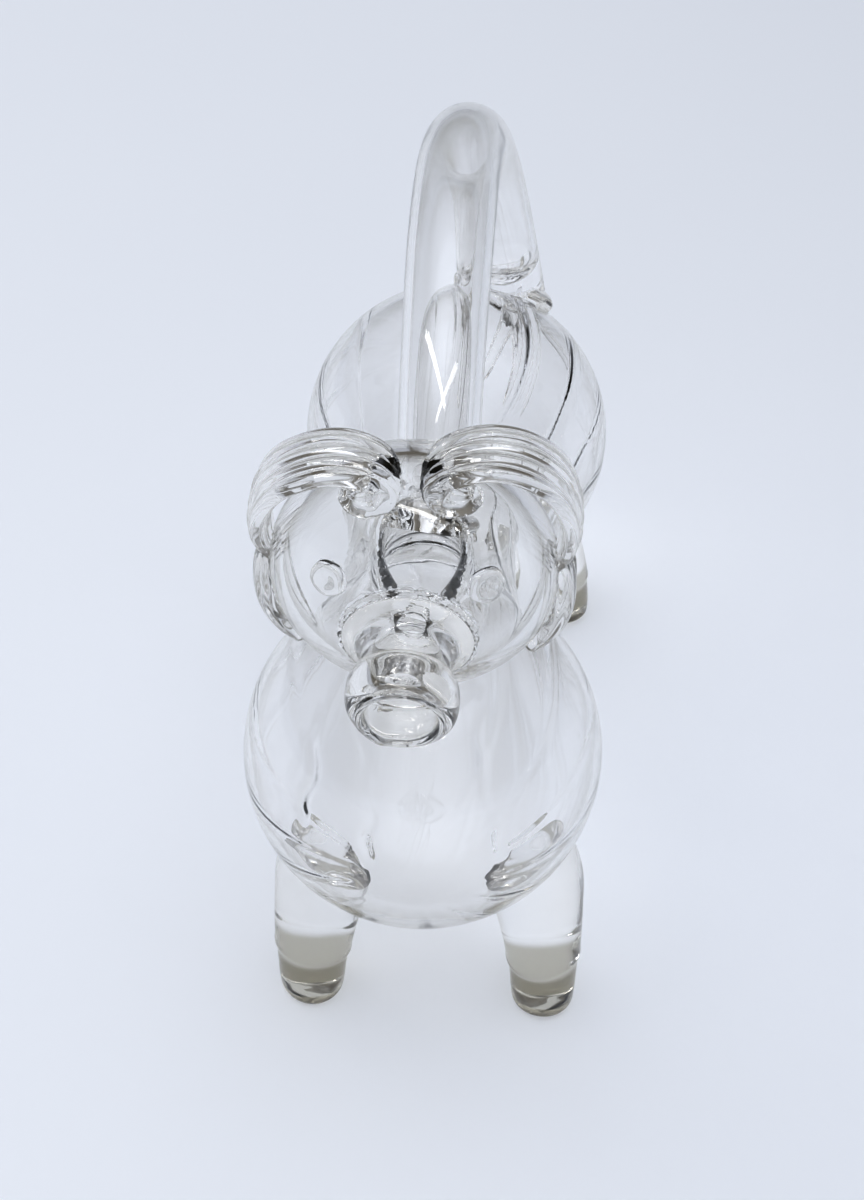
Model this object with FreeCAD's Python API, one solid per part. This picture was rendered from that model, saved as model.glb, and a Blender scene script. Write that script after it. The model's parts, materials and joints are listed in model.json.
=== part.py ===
"""A ram-shaped glass decanter: a hollow blown body on four solid legs, a hollow head whose muzzle is
the pouring mouth, a hollow arched handle from nape to rump, and applied horns, ears, eyes and tail.

Millimetres. +Z is up, the mouth faces -Y, and left and right are the animal's own, so left is +X.
Every piece is a gather of glass that was put on hot, so neighbours meet face to face: a piece is
drawn into its neighbour, and then cut by the neighbour's outside.
The pieces are drawn about the middle of the chest bulb, with "back" for +Y and "out" for away from
the middle, and moved at the end so that the origin is the middle of the underside.
"""

import FreeCAD, Part
import math
import os

V = FreeCAD.Vector

# Body: two bulbs on one level axis, joined by a waist.
BULB_R = 50.0
BODY_SPAN = 154.0
WAIST_R = 34.0
BODY_WALL = 2.2
AXIS_HEIGHT = 82.0

# Head: a round bulb flattened along the nose, which points forward and a little down.
HEAD_BACK = -24.0
HEAD_UP = 84.6
HEAD_R = 36.0
HEAD_HALF_DEPTH = 26.0
HEAD_WALL = 3.6
NOSE_DROP = 12.0

# Muzzle tube and the collar wound round its mouth, measured along the nose from the head's middle.
# The collar is fattest at COLLAR_BELLY of its length from the front, and COLLAR_SHOULDER lower near
# its ends.
MUZZLE_R = 10.8
BORE_R = 8.8
MOUTH_REACH = 47.5
COLLAR_R = 13.6
COLLAR_LENGTH = 11.5
COLLAR_SETBACK = 1.2
COLLAR_BELLY = 0.4
COLLAR_SHOULDER = 0.6
FLARE_R = 15.5
FLARE_START = 22.0
FLARE_END = 31.0
FLARE_HOLLOW = 0.28

# Neck: circles from inside the chest to inside the head, as (back, up, lean forward, radius).
NECK_WALL = 2.6
NECK_CIRCLES = [
    (8.0, 34.0, 0.0, 27.0),
    (8.0, 45.0, 0.0, 19.5),
    (7.0, 55.0, 5.0, 15.0),
    (5.0, 64.0, 12.0, 13.2),
    (1.0, 74.0, 30.0, 12.6),
    (-12.0, 86.0, 60.0, 12.4),
]

# Handle: a hollow tube on a round arch, as (degrees round the arch from level at the rear, radius).
# It stands upright from the nape to the top, and leans to the left on its way down to the rump.
ARCH_BACK = 92.0
ARCH_UP = 38.0
ARCH_R = 90.0
ARCH_X = 3.0
ARCH_LEAN = 13.0
HANDLE_WALL = 2.2
HANDLE_CIRCLES = [
    (-9.0, 12.0), (8.0, 11.8), (26.0, 11.6), (44.0, 11.6), (62.0, 11.6),
    (80.0, 11.6), (98.0, 11.5), (116.0, 11.3), (134.0, 11.0), (149.0, 10.6), (162.0, 10.4),
]

# Pads: pressed balls of glass that take in the handle's ends, which are solid past these angles.
FRONT_PLUG = 153.0
REAR_PLUG = 4.0
PLUG_R = 40.0
PLUG_LENGTH = 60.0
FRONT_PAD_BEYOND = 3.0
FRONT_PAD_R = 13.0
REAR_PAD_R = 15.0
PAD_HALF_THICKNESS = 6.4
REAR_PAD_POLAR = 46.0
REAR_PAD_BEARING = 27.0

# Tail: drips drawn down the rump from the rear pad, as (tip's polar angle, tip's bearing, radius).
PAD_POLAR = 52.0
PAD_BEARING = 29.0
DRIPS = {
    "tail": (114.0, 22.0, 4.2),
    "left_drip": (80.0, 54.0, 3.4),
    "right_drip": (104.0, 6.0, 3.4),
}
DRIP_STEPS = 6
DRIP_ROOT = 1.25
DRIP_TIP = 0.85
DRIP_BEAD = 0.93

# Eyes: round dabs on the front of the head.
EYE_R = 4.7
EYE_OUT = 18.5
EYE_UP = 16.8
EYE_BULGE = 1.9

# Horns: a strap from the head's side over an arch to a curled end on the brow, as (out, up) of its
# middle line from the head's middle, with the share of full width at each place.
STRAP_WIDTH = 16.6
STRAP_THICKNESS = 4.8
STRAP_FORWARD = 0.8
STRAP_SHARES = (0.62, 0.78, 0.94, 1.0, 1.0, 1.0, 0.94)
CURL_R = 5.2
CURL_HALF_LENGTH = 9.3
HORNS = {
    "left_horn": (
        1, ((34.6, 9.0), (37.4, 16.0), (37.0, 25.0), (34.2, 33.0), (28.4, 39.4), (20.6, 42.2), (12.6, 40.6))
    ),
    "right_horn": (
        -1, ((34.6, 9.0), (37.2, 15.0), (36.8, 22.0), (34.2, 29.4), (28.6, 35.4), (21.2, 38.2), (13.0, 38.4))
    ),
}
CURL_OUT = 9.6
CURL_CLEARANCE = 1.0

# Ears: leaf-shaped dabs on the sides of the head, as (up, forward, width, stand-off) down the leaf.
EAR_STATIONS = [(9.0, -3.0, 5.0, 1.6), (2.0, -1.5, 11.0, 3.2), (-8.0, 0.5, 12.6, 3.6),
                (-17.0, 3.0, 9.5, 3.0), (-25.0, 5.0, 3.6, 1.6)]

# Legs: circles from inside the bulb to the sole, as (out, back, down, radius).
FRONT_LEG = [
    (25.0, -4.0, 27.0, 14.6),
    (29.0, -8.0, 43.0, 13.4),
    (32.0, -12.5, 57.0, 11.8),
    (33.6, -15.5, 68.0, 10.6),
    (34.2, -17.5, 78.0, 10.2),
    (34.2, -18.0, AXIS_HEIGHT, 8.6),
]
REAR_LEG = [
    (24.0, 0.0, 27.0, 14.6),
    (30.0, 2.0, 43.0, 13.0),
    (35.0, 4.5, 57.0, 11.0),
    (37.6, 6.5, 68.0, 9.8),
    (38.4, 7.3, 78.0, 9.6),
    (38.4, 7.3, AXIS_HEIGHT, 8.0),
]

HEAD_CENTRE = V(0, HEAD_BACK, HEAD_UP)
NOSE = V(0, -math.cos(math.radians(NOSE_DROP)), -math.sin(math.radians(NOSE_DROP)))
CROWN = V(0, NOSE.z, -NOSE.y)
RUMP = V(0, BODY_SPAN, 0)


def in_head(out, up, forward):
    """A point given out, up to the crown and forward along the nose from the head's middle."""
    return HEAD_CENTRE + V(out, 0, 0) + CROWN * up + NOSE * forward


def head_radius(forward):
    """The head's radius about the nose's line, at a place along it."""
    return HEAD_R * math.sqrt(1 - (forward / HEAD_HALF_DEPTH) ** 2)


def line(a, b):
    return Part.LineSegment(a, b).toShape()


def arc(a, middle, b):
    return Part.Arc(a, middle, b).toShape()


def turned(edges, direction, origin=V(0, 0, 0)):
    """A solid from a closed outline in the local XZ plane, turned about Z, then pointed."""
    solid = Part.Face(Part.Wire(edges)).revolve(V(0, 0, 0), V(0, 0, 1), 360)
    solid.Placement = FreeCAD.Placement(origin, FreeCAD.Rotation(V(0, 0, 1), direction))
    return solid


def circle(centre, normal, radius):
    return Part.Wire(Part.Circle(centre, normal, radius).toShape())


def oval(centre, wide, thick):
    """An oval wire from its two half axes, wide first."""
    return Part.Wire(Part.Ellipse(centre + wide, centre + thick, centre).toShape())


def ellipsoid(centre, x_axis, z_axis, radius, half_depth):
    """A ball of the given radius, pressed to half_depth along z_axis."""
    ball = Part.makeSphere(radius)
    press = FreeCAD.Matrix()
    press.scale(1, 1, half_depth / radius)
    shape = ball.transformGeometry(press)
    shape.Placement = FreeCAD.Placement(
        centre, FreeCAD.Rotation(x_axis, z_axis.cross(x_axis), z_axis, "ZXY")
    )
    return shape


def bulbs(inset):
    """The two bulbs and the waist as one solid, drawn in from the outside by inset."""
    bulb, waist, half = BULB_R - inset, WAIST_R - inset, BODY_SPAN / 2
    hollow = (half**2 + waist**2 - bulb**2) / (2 * (bulb - waist))
    reach = math.hypot(half, waist + hollow)
    join = V((waist + hollow) * bulb / reach, 0, half * bulb / reach)
    midway = (math.atan2(join.x, join.z) + math.pi) / 2
    chest_side = V(bulb * math.sin(midway), 0, bulb * math.cos(midway))
    front, rear = V(0, 0, -bulb), V(0, 0, BODY_SPAN + bulb)
    far_join = V(join.x, 0, BODY_SPAN - join.z)
    rump_side = V(chest_side.x, 0, BODY_SPAN - chest_side.z)
    edges = [
        arc(front, chest_side, join),
        arc(join, V(waist, 0, half), far_join),
        arc(far_join, rump_side, rear),
        line(rear, front),
    ]
    return turned(edges, V(0, 1, 0))


def neck(inset):
    """The neck as a solid through its circles, drawn in by inset."""
    wires = []
    for back, up, lean, radius in NECK_CIRCLES:
        angle = math.radians(lean)
        wires.append(circle(V(0, back, up), V(0, -math.sin(angle), math.cos(angle)), radius - inset))
    return Part.makeLoft(wires, True, False)


def head(inset):
    """The head bulb as a solid, drawn in by inset."""
    return ellipsoid(HEAD_CENTRE, V(1, 0, 0), NOSE, HEAD_R - inset, HEAD_HALF_DEPTH - inset)


def body_bubble(head_outside):
    """The bulbs, waist and neck as one hollow shell, open where the neck meets the head."""
    outside = bulbs(0).fuse(neck(0))
    inside = bulbs(BODY_WALL).fuse(neck(NECK_WALL))
    return outside.cut(inside).cut(head_outside)


def head_bulb(head_outside):
    """The hollow head, open to the neck behind and to the muzzle's bore in front."""
    bore = Part.makeCylinder(BORE_R, MOUTH_REACH, HEAD_CENTRE, NOSE)
    return head_outside.cut(head(HEAD_WALL)).cut(neck(NECK_WALL)).cut(bore)


def muzzle_tube(head_outside):
    """The tube in front of the head, flared where it joins, with its rim rounded over."""
    rim_r = (MUZZLE_R - BORE_R) / 2
    shoulder = MOUTH_REACH - rim_r
    flare_r = MUZZLE_R + (FLARE_R - MUZZLE_R) * FLARE_HOLLOW
    flare_middle = V(flare_r, 0, FLARE_START * 0.6 + FLARE_END * 0.4)
    edges = [
        line(V(BORE_R, 0, 0), V(BORE_R, 0, shoulder)),
        arc(V(BORE_R, 0, shoulder), V(BORE_R + rim_r, 0, MOUTH_REACH), V(MUZZLE_R, 0, shoulder)),
        line(V(MUZZLE_R, 0, shoulder), V(MUZZLE_R, 0, FLARE_END)),
        arc(V(MUZZLE_R, 0, FLARE_END), flare_middle, V(FLARE_R, 0, FLARE_START)),
        line(V(FLARE_R, 0, FLARE_START), V(FLARE_R, 0, 0)),
        line(V(FLARE_R, 0, 0), V(BORE_R, 0, 0)),
    ]
    return turned(edges, NOSE, HEAD_CENTRE).cut(head_outside)


def mouth_collar():
    """A trail of glass wound round the mouth, fattest a little behind its front."""
    front = MOUTH_REACH - COLLAR_SETBACK
    back = front - COLLAR_LENGTH
    belly = front - COLLAR_LENGTH * COLLAR_BELLY
    shoulder_r = COLLAR_R - COLLAR_SHOULDER
    edges = [
        line(V(MUZZLE_R, 0, back), V(MUZZLE_R, 0, front)),
        arc(V(MUZZLE_R, 0, front), V(shoulder_r, 0, (front * 3 + belly) / 4), V(COLLAR_R, 0, belly)),
        arc(V(COLLAR_R, 0, belly), V(shoulder_r, 0, (back * 3 + belly) / 4), V(MUZZLE_R, 0, back)),
    ]
    return turned(edges, NOSE, HEAD_CENTRE)


def eye(side, head_outside):
    """A lens-shaped dab whose back is the head's own surface."""
    forward = HEAD_HALF_DEPTH * math.sqrt(1 - (EYE_OUT**2 + EYE_UP**2) / HEAD_R**2)
    centre = in_head(side * EYE_OUT, EYE_UP, forward)
    flatness = (HEAD_R / HEAD_HALF_DEPTH) ** 2
    normal = V(side * EYE_OUT, 0, 0) + CROWN * EYE_UP + NOSE * (forward * flatness)
    normal.normalize()
    ball_r = (EYE_R**2 + EYE_BULGE**2) / (2 * EYE_BULGE)
    ball = Part.makeSphere(ball_r, centre + normal * (EYE_BULGE - ball_r))
    drum = Part.makeCylinder(EYE_R, 2 * EYE_R, centre - normal * EYE_R, normal)
    return ball.common(drum).cut(head_outside)


def finger(middle, axis, radius, half_length):
    """A round bar with ball ends."""
    reach = axis * (half_length - radius)
    bar = Part.makeCylinder(radius, 2 * (half_length - radius), middle - reach, axis)
    return bar.fuse(Part.makeSphere(radius, middle - reach)).fuse(Part.makeSphere(radius, middle + reach))


def horn(side, middle_line, head_outside):
    """A strap of oval section along its middle line, fused to a curled end as thick as a finger."""
    points = [in_head(side * out, up, STRAP_FORWARD) for out, up in middle_line]
    wires = []
    for index, (point, share) in enumerate(zip(points, STRAP_SHARES)):
        ahead = points[min(index + 1, len(points) - 1)] - points[max(index - 1, 0)]
        across = ahead.cross(NOSE)
        across.normalize()
        wires.append(oval(point, NOSE * (STRAP_WIDTH * share / 2), across * (STRAP_THICKNESS / 2)))
    strap = Part.makeLoft(wires, True, False)
    curl_up = math.sqrt(head_radius(STRAP_FORWARD) ** 2 - CURL_OUT**2) + CURL_R - CURL_CLEARANCE
    middle = in_head(side * CURL_OUT, curl_up, STRAP_FORWARD)
    curl = finger(middle, NOSE, CURL_R, CURL_HALF_LENGTH)
    return strap.fuse(curl).cut(head_outside)


def ear(side, head_outside):
    """A leaf of oval section lying down the side of the head, cut flat to the head's surface."""
    wires = []
    for up, forward, width, stand_off in EAR_STATIONS:
        out = math.sqrt(head_radius(forward) ** 2 - up**2)
        radial = V(side * out, 0, 0) + CROWN * up
        radial.normalize()
        wires.append(oval(in_head(side * out, up, forward), NOSE * (width / 2), radial * stand_off))
    return Part.makeLoft(wires, True, False).cut(head_outside)


def arch_point(degrees):
    """A point on the handle's middle line."""
    angle = math.radians(degrees)
    lean = max(0.0, 1 - degrees / 90) ** 2
    return V(
        ARCH_X + ARCH_LEAN * lean, ARCH_BACK + ARCH_R * math.cos(angle), ARCH_UP + ARCH_R * math.sin(angle)
    )


def arch_direction(degrees):
    step = arch_point(degrees + 1) - arch_point(degrees - 1)
    step.normalize()
    return step


def handle_bar(inset):
    """The handle as a solid bar, drawn in by inset."""
    wires = [circle(arch_point(a), arch_direction(a), radius - inset) for a, radius in HANDLE_CIRCLES]
    return Part.makeLoft(wires, True, False)


def plug(degrees, towards):
    """A drum that covers one end of the handle, on the side that towards gives."""
    return Part.makeCylinder(PLUG_R, PLUG_LENGTH, arch_point(degrees), arch_direction(degrees) * towards)


def handle_pad(centre, direction, radius):
    """A pressed ball of glass round one end of the handle."""
    side = direction.cross(V(1, 0, 0).cross(direction))
    side.normalize()
    return ellipsoid(centre, side, direction, radius, PAD_HALF_THICKNESS)


def rump_point(polar, bearing, radius=BULB_R):
    """A point on the rump bulb: polar from straight up, bearing from straight back to the left."""
    tilt, turn = math.radians(polar), math.radians(bearing)
    across = radius * math.sin(tilt)
    return RUMP + V(across * math.sin(turn), across * math.cos(turn), radius * math.cos(tilt))


def drip(tip_polar, tip_bearing, radius):
    """A drip down the rump's surface from under the pad, ending in a round tip."""
    points = []
    for step in range(DRIP_STEPS + 1):
        share = step / DRIP_STEPS
        polar = PAD_POLAR + (tip_polar - PAD_POLAR) * share
        points.append(rump_point(polar, PAD_BEARING + (tip_bearing - PAD_BEARING) * share))
    wires = []
    for index, point in enumerate(points):
        ahead = points[min(index + 1, DRIP_STEPS)] - points[max(index - 1, 0)]
        share = index / DRIP_STEPS
        wires.append(circle(point, ahead, radius * (DRIP_ROOT + (DRIP_TIP - DRIP_ROOT) * share)))
    tip = Part.makeSphere(radius * DRIP_BEAD, points[-1])
    return Part.makeLoft(wires, True, False).fuse(tip)


def leg(circles, side, centre):
    """A leg that leans out and ends in a hoof with a flat sole."""
    level = V(0, 0, -1)
    wires = [
        circle(centre + V(side * out, back, -down), level, radius) for out, back, down, radius in circles
    ]
    return Part.makeLoft(wires, True, False)


def handle_pieces(head_outside, body_outside):
    """The tube, closed by a solid pad at each end."""
    front_bar = handle_bar(0).common(plug(FRONT_PLUG, 1))
    front_at = FRONT_PLUG + FRONT_PAD_BEYOND
    front_pad = handle_pad(arch_point(front_at), arch_direction(front_at), FRONT_PAD_R).fuse(front_bar)
    front_pad = front_pad.cut(head_outside).cut(body_outside)
    seat = rump_point(REAR_PAD_POLAR, REAR_PAD_BEARING)
    normal = seat - RUMP
    normal.normalize()
    rear_bar = handle_bar(0).common(plug(REAR_PLUG, -1))
    rear_pad = handle_pad(seat, normal, REAR_PAD_R).fuse(rear_bar).cut(body_outside)
    tube = handle_bar(0).cut(handle_bar(HANDLE_WALL))
    tube = tube.cut(plug(FRONT_PLUG, 1)).cut(plug(REAR_PLUG, -1))
    tube = tube.cut(front_pad).cut(rear_pad)
    return {"handle_tube": tube, "handle_front_pad": front_pad, "handle_rear_pad": rear_pad}


def build():
    """Every piece by its node's name."""
    head_outside, body_outside = head(0), bulbs(0).fuse(neck(0))
    pieces = {
        "body_bubble": body_bubble(head_outside),
        "head_bulb": head_bulb(head_outside),
        "muzzle_tube": muzzle_tube(head_outside),
        "mouth_collar": mouth_collar(),
    }
    for name, side in (("left", 1), ("right", -1)):
        pieces[f"{name}_eye"] = eye(side, head_outside)
        ear_solid = ear(side, head_outside)
        horn_solid = horn(*HORNS[f"{name}_horn"], head_outside)
        pieces[f"{name}_horn"] = horn_solid
        pieces[f"{name}_ear"] = ear_solid.cut(horn_solid)

    pieces.update(handle_pieces(head_outside, body_outside))
    taken = pieces["handle_rear_pad"]
    for name, shape in DRIPS.items():
        solid = drip(*shape).cut(body_outside).cut(taken)
        pieces[name] = solid
        taken = taken.fuse(solid)

    for name, circles, centre in (("front", FRONT_LEG, V(0, 0, 0)), ("rear", REAR_LEG, RUMP)):
        for word, side in (("left", 1), ("right", -1)):
            pieces[f"{name}_{word}_leg"] = leg(circles, side, centre).cut(body_outside)
    return pieces


def underside_middle(pieces):
    """The middle of the underside of the box round every piece."""
    boxes = [shape.optimalBoundingBox(False) for shape in pieces.values()]
    low_x, high_x = min(box.XMin for box in boxes), max(box.XMax for box in boxes)
    low_y, high_y = min(box.YMin for box in boxes), max(box.YMax for box in boxes)
    return V((low_x + high_x) / 2, (low_y + high_y) / 2, -AXIS_HEIGHT)


os.makedirs("parts", exist_ok=True)
PIECES = build()
ORIGIN = underside_middle(PIECES)
print(f"origin at {ORIGIN.x:.2f}, {ORIGIN.y:.2f}, {ORIGIN.z:.2f} from the middle of the chest")
for NODE, SHAPE in PIECES.items():
    SHAPE.translate(V(0, 0, 0) - ORIGIN)
    SHAPE.exportStep(f"parts/{NODE}.step")
    print(f"{NODE}: {len(SHAPE.Solids)} solid, {SHAPE.Volume:.0f} mm3, valid {SHAPE.isValid()}")
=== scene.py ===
"""Looks for the ram-shaped glass decanter: hot-worked clear glass on a pale floor in soft light.

Shapes are drawn in millimetres from the middle of the chest bulb, with +Y to the rear and +Z up, and
go to metres in the row's frame when they become objects. Each piece is a closed mesh. Where a piece
is fused to its neighbour the faces between them are given no surface of their own, so light passes
from one to the other as it does in one body of glass.
"""

import json
import math

import bpy
import numpy as np
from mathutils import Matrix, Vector
from mathutils.bvhtree import BVHTree

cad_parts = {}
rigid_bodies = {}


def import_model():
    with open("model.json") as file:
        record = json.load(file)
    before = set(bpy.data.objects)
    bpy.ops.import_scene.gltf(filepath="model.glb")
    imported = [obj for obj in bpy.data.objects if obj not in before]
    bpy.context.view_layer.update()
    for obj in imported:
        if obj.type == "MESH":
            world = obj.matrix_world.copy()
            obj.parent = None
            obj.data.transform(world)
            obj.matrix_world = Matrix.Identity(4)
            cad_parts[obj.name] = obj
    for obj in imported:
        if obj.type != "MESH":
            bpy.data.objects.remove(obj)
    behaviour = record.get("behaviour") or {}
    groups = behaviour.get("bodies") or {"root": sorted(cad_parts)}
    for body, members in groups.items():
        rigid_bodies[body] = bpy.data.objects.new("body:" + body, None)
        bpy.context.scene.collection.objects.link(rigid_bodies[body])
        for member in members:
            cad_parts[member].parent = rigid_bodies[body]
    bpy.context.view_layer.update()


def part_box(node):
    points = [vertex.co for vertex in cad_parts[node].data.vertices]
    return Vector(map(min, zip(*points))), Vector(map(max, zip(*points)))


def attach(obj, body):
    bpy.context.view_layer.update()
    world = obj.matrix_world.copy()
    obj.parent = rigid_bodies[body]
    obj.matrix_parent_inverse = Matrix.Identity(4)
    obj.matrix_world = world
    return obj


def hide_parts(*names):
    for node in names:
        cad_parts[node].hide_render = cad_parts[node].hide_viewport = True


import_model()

MM = 0.001
BODY_LOW, BODY_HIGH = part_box("body_bubble")
BULB_R = 50.0
BODY_SPAN = (BODY_HIGH.y - BODY_LOW.y) / MM - 2 * BULB_R
CHEST = Vector((0, BODY_LOW.y + BULB_R * MM, BODY_LOW.z + BULB_R * MM))
AXIS_HEIGHT = CHEST.z / MM


# ---------------------------------------------------------------- camera

CAMERA_AZIMUTH = math.radians(4.0)
CAMERA_ELEVATION = math.radians(39.5)
CAMERA_DISTANCE = 0.600
CAMERA_AIM = CHEST + Vector((0.0007, 0.0268, 0.0318))
CAMERA_LENS = 64.3
SENSOR_WIDTH = 36.0
CLIP_NEAR, CLIP_FAR = 0.01, 50.0


def add_camera():
    data = bpy.data.cameras.new("camera")
    data.lens = CAMERA_LENS
    data.sensor_width = SENSOR_WIDTH
    data.clip_start, data.clip_end = CLIP_NEAR, CLIP_FAR
    camera = bpy.data.objects.new("camera", data)
    level = math.cos(CAMERA_ELEVATION)
    away = Vector((
        level * math.sin(CAMERA_AZIMUTH), -level * math.cos(CAMERA_AZIMUTH), math.sin(CAMERA_ELEVATION)
    ))
    camera.location = CAMERA_AIM + away * CAMERA_DISTANCE
    camera.rotation_euler = (-away).to_track_quat("-Z", "Y").to_euler()
    bpy.context.scene.collection.objects.link(camera)
    bpy.context.scene.camera = camera


# ---------------------------------------------------------------- mesh tools

def unit(v):
    return v / np.linalg.norm(v, axis=-1, keepdims=True)


def signed_volume(vertices, faces):
    """Six times the volume that the faces enclose, below zero where they face inwards."""
    total = 0.0
    for size in {len(face) for face in faces}:
        corners = np.asarray(vertices, float)[np.array([face for face in faces if len(face) == size])]
        for i in range(1, size - 1):
            total += np.einsum("ij,ij->", corners[:, 0], np.cross(corners[:, i], corners[:, i + 1]))
    return total


def outward(vertices, faces):
    """The faces of one closed surface, turned to face outwards."""
    return faces if signed_volume(vertices, faces) > 0 else [face[::-1] for face in faces]


def mesh_object(name, vertices, faces, smooth=True):
    """An object from points in millimetres and faces, turned to face outwards."""
    faces = outward(vertices, faces)
    mesh = bpy.data.meshes.new(name)
    points = np.asarray(vertices, float) * MM + np.array(CHEST)
    mesh.from_pydata(points.tolist(), [], faces)
    mesh.validate()
    mesh.update()
    mesh.polygons.foreach_set("use_smooth", [smooth] * len(mesh.polygons))
    piece = bpy.data.objects.new(name, mesh)
    bpy.context.scene.collection.objects.link(piece)
    return piece


LONGEST_STEP = 1.5
LEAST_SLOPE = 0.05
CHUNKS = 24


def gradient(field, points, step=0.02):
    """The field's uphill direction at each point."""
    sides = []
    for axis in range(3):
        offset = np.zeros(3)
        offset[axis] = step
        sides.append((field(points + offset) - field(points - offset)) / (2 * step))
    return np.stack(sides, axis=1)


def onto(field, points, rounds=4):
    """The points moved to where the field is zero."""
    for _ in range(rounds):
        slope = gradient(field, points)
        size = np.maximum((slope**2).sum(1), LEAST_SLOPE)
        step = slope * (field(points) / size)[:, None]
        length = np.linalg.norm(step, axis=1, keepdims=True)
        points = points - step * np.minimum(1, LONGEST_STEP / np.maximum(length, 1e-9))
    return points


def field_mesh(field, low, high, step):
    """The closed surface where a field is zero: one vertex to a grid cell, then moved onto the surface."""
    counts = [int(math.ceil((b - a) / step)) + 1 for a, b in zip(low, high)]
    axes = [a + step * np.arange(n) for a, n in zip(low, counts)]
    grid = np.stack(np.meshgrid(*axes, indexing="ij"), -1).reshape(-1, 3)
    values = np.concatenate([field(part) for part in np.array_split(grid, CHUNKS)]).reshape(counts)
    inside = values < 0
    total = np.zeros([n - 1 for n in counts] + [3])
    hits = np.zeros([n - 1 for n in counts])
    corners = [(i, j, k) for i in (0, 1) for j in (0, 1) for k in (0, 1)]
    cut = [slice(0, n - 1) for n in counts]
    for a in corners:
        for axis in range(3):
            if a[axis]:
                continue
            b = tuple(c + (1 if i == axis else 0) for i, c in enumerate(a))
            at_a = values[tuple(slice(s.start + c, s.stop + c) for s, c in zip(cut, a))]
            at_b = values[tuple(slice(s.start + c, s.stop + c) for s, c in zip(cut, b))]
            crosses = (at_a < 0) != (at_b < 0)
            share = np.where(crosses, at_a / np.where(crosses, at_a - at_b, 1), 0)
            for i in range(3):
                total[..., i] += np.where(crosses, a[i] + (share if i == axis else 0), 0)
            hits += crosses
    used = hits > 0
    index = np.full(used.shape, -1)
    index[used] = np.arange(used.sum())
    cells = np.argwhere(used)
    points = np.array(low) + step * (cells + total[used] / hits[used][:, None])
    faces = []
    for axis in range(3):
        u, v = (axis + 1) % 3, (axis + 2) % 3
        first, second = [slice(None)] * 3, [slice(None)] * 3
        first[axis], second[axis] = slice(0, -1), slice(1, None)
        one, two = inside[tuple(first)], inside[tuple(second)]
        edges = np.argwhere(one != two)
        keep = (edges[:, u] > 0) & (edges[:, v] > 0)
        keep &= (edges[:, u] < counts[u] - 1) & (edges[:, v] < counts[v] - 1)
        edges = edges[keep]
        leaving = one[tuple(edges.T)]
        ring = []
        for du, dv in ((-1, -1), (0, -1), (0, 0), (-1, 0)):
            cell = edges.copy()
            cell[:, u] += du
            cell[:, v] += dv
            ring.append(index[tuple(cell.T)])
        quads = np.stack(ring, 1)
        quads[~leaving] = quads[~leaving][:, ::-1]
        faces.append(quads)
    return onto(field, points), np.concatenate(faces).tolist()


def ring_mesh(rings):
    """A closed solid through rings of points, with a pole at each end."""
    rings = [np.asarray(ring, float) for ring in rings]
    around = len(rings[0])
    vertices = np.concatenate(rings + [rings[0].mean(0)[None], rings[-1].mean(0)[None]])
    start, end = len(vertices) - 2, len(vertices) - 1
    faces = []
    for r in range(len(rings) - 1):
        for i in range(around):
            j = (i + 1) % around
            faces.append((r * around + i, r * around + j, (r + 1) * around + j, (r + 1) * around + i))
    last = (len(rings) - 1) * around
    for i in range(around):
        j = (i + 1) % around
        faces.append((start, j, i))
        faces.append((end, last + i, last + j))
    return vertices, faces


def smooth_rows(rows, count):
    """Rows of numbers carried smoothly to more rows, through every given row."""
    rows = np.asarray(rows, float)
    gaps = np.linalg.norm(np.diff(rows[:, :3], axis=0), axis=1)
    knots = np.concatenate([[0], np.cumsum(np.sqrt(gaps))])
    slopes = np.gradient(rows, knots, axis=0)
    where = np.linspace(0, knots[-1], count)
    at = np.clip(np.searchsorted(knots, where, side="right") - 1, 0, len(rows) - 2)
    width = (knots[at + 1] - knots[at])[:, None]
    t = ((where - knots[at])[:, None]) / width
    a, b, m, n = rows[at], rows[at + 1], slopes[at] * width, slopes[at + 1] * width
    return (2*t**3 - 3*t**2 + 1) * a + (t**3 - 2*t**2 + t) * m + (3*t**2 - 2*t**3) * b + (t**3 - t**2) * n


# ---------------------------------------------------------------- the vessel's shape as fields

def smooth_min(a, b, k):
    h = np.clip(0.5 + 0.5 * (b - a) / k, 0, 1)
    return b * (1 - h) + a * h - k * h * (1 - h)


def smooth_max(a, b, k):
    return -smooth_min(-a, -b, k)


WAIST_R = 34.0
BODY_WALL = 2.2
HEAD_CENTRE = np.array((0.0, -24.0, 84.6))
HEAD_R = 36.0
HEAD_HALF_DEPTH = 26.0
HEAD_WALL = 3.6
NOSE_DROP = math.radians(12.0)
NOSE = np.array((0, -math.cos(NOSE_DROP), -math.sin(NOSE_DROP)))
CROWN = np.array((0, NOSE[2], -NOSE[1]))
SIDE = np.array((1.0, 0, 0))
MUZZLE_R = 10.8
BORE_R = 8.8
MOUTH_REACH = 47.5
MUZZLE_JOINT_R = 16.0
MUZZLE_JOINT_BACK = 10.0
NECK_JOINT_OUT = 0.6
NECK_WALL = 2.6
MUZZLE_RING_HEIGHT, MUZZLE_RING_PITCH, MUZZLE_RING_START = 0.07, 5.0, 31.0

# How widely neighbouring shapes run into one another, outside and inside.
BODY_NECK_BLEND, HEAD_MUZZLE_BLEND, BODY_HEAD_BLEND = 9.0, 7.0, 2.0
BODY_NECK_HOLLOW, HEAD_BORE_HOLLOW, BODY_HEAD_HOLLOW = 10.0, 4.0, 5.0
SHELL_ROUNDING, MOUTH_ROUNDING = 0.8, 1.2


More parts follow.
